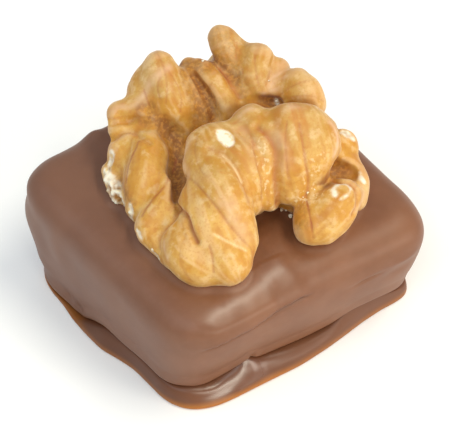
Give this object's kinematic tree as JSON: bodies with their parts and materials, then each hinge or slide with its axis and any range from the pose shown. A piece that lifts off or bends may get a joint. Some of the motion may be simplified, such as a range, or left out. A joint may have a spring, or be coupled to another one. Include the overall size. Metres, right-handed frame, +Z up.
{
  "type": "chocolate praline",
  "caption": "Milk chocolate praline: a dipped, nearly square slab with rounded edges and a spread foot, topped with half a walnut kernel.",
  "frame": {"origin": "middle of the praline's base, on the surface that it stands on", "axes": "+X along the slab's longer side, -Y towards the front, +Z up through the walnut"},
  "size_m": [0.0314, 0.0292, 0.0238],
  "materials": {
    "chocolate": "milk chocolate, satin gloss",
    "walnut": "walnut skin, slightly waxy"
  },
  "bodies": {
    "root": {"chocolate": "chocolate", "walnut_half": "walnut"}
  },
  "joints": []
}
